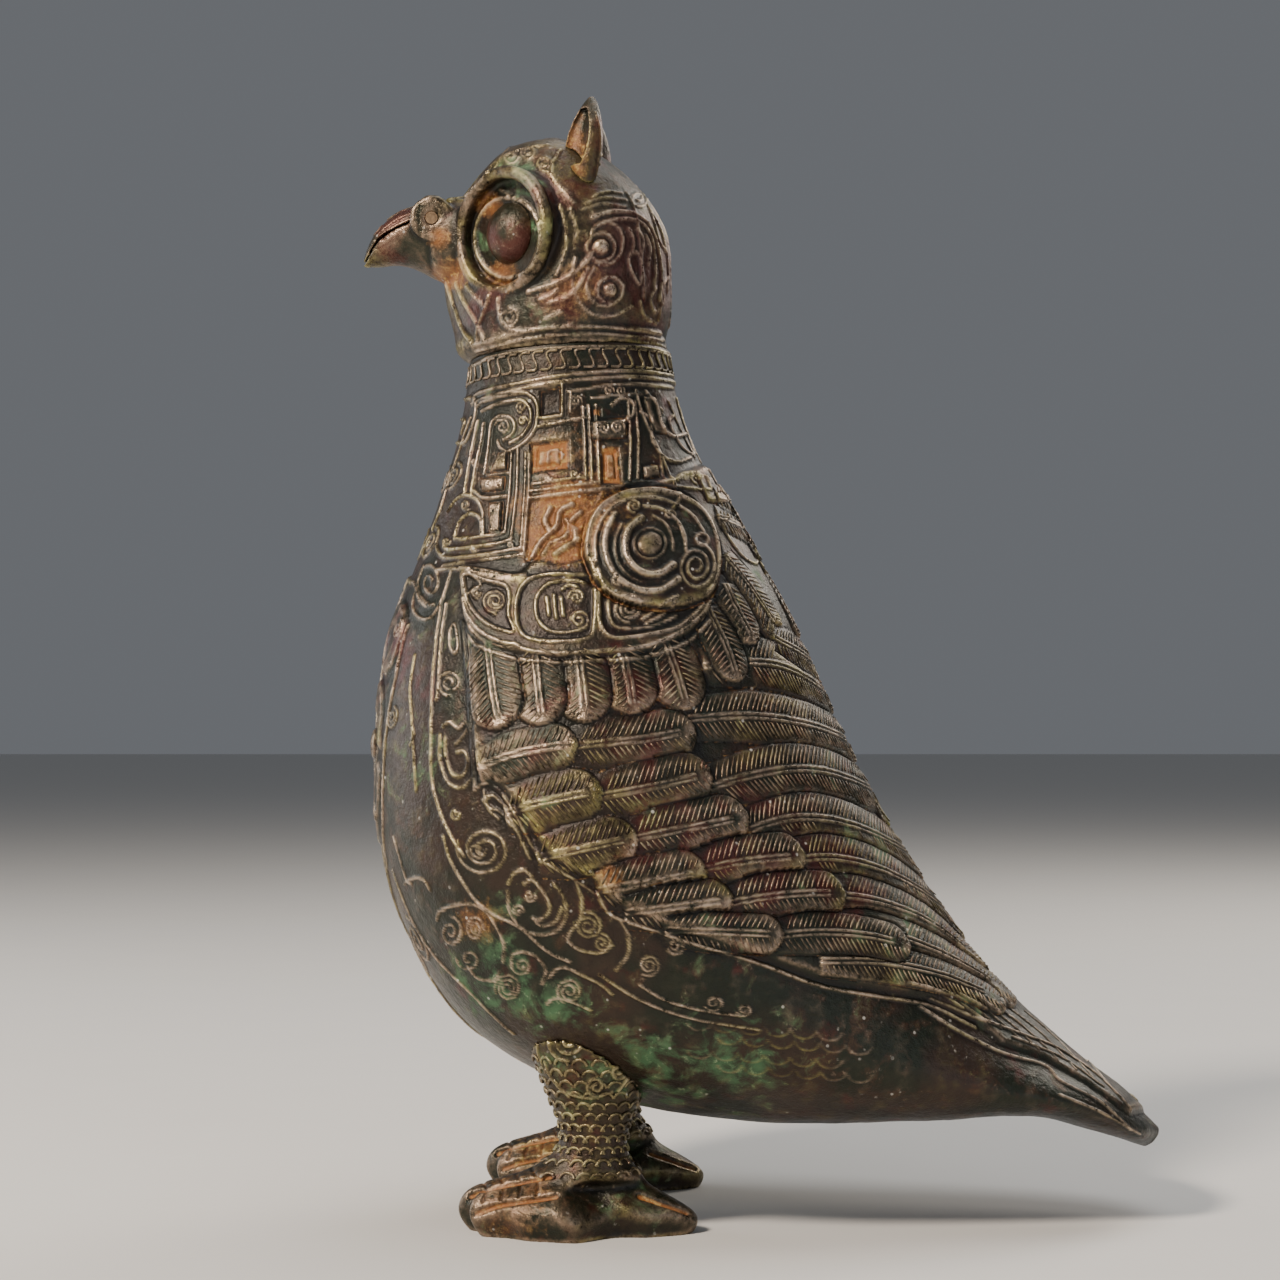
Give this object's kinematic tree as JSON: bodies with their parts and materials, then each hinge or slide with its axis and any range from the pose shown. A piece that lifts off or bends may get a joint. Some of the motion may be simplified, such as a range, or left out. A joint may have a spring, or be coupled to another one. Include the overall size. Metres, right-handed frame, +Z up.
{
  "type": "bronze zun wine vessel",
  "caption": "Hollow bird-shaped bronze wine vessel with an owl head as its lift-off lid, a beak that swings open to pour, and two legs.",
  "frame": {"origin": "on the surface that the vessel stands on, halfway between beak tip and tail tip and on the plane of symmetry", "axes": "+Z up, the bird looks along -X, +Y is its right side"},
  "size_m": [0.1921, 0.1152, 0.2674],
  "materials": {
    "bronze": "cast bronze, worn and patinated",
    "bronze_dark": "cast bronze with cuprite",
    "clay": "fired core clay"
  },
  "bodies": {
    "vessel": {"vessel_body": "bronze", "left_leg": "bronze", "right_leg": "bronze", "left_leg_core": "clay", "right_leg_core": "clay", "core_spacers": "bronze_dark"},
    "lid": {"lid_head": "bronze", "lid_collar": "bronze", "left_ear": "bronze", "right_ear": "bronze", "left_eye": "bronze_dark", "right_eye": "bronze_dark", "beak_pin": "bronze_dark"},
    "beak": {"upper_beak": "bronze"}
  },
  "joints": [
    {"name": "lid_lift", "type": "slide", "parent": "vessel", "child": "lid", "axis": [-0.0576, 0, 0.9983], "range_m": [0, 0.06]},
    {"name": "beak_gape", "type": "hinge", "parent": "lid", "child": "beak", "pos_m": [-0.07829, 0, 0.23966], "axis": [0, 1, 0], "range_deg": [0, 24]}
  ]
}
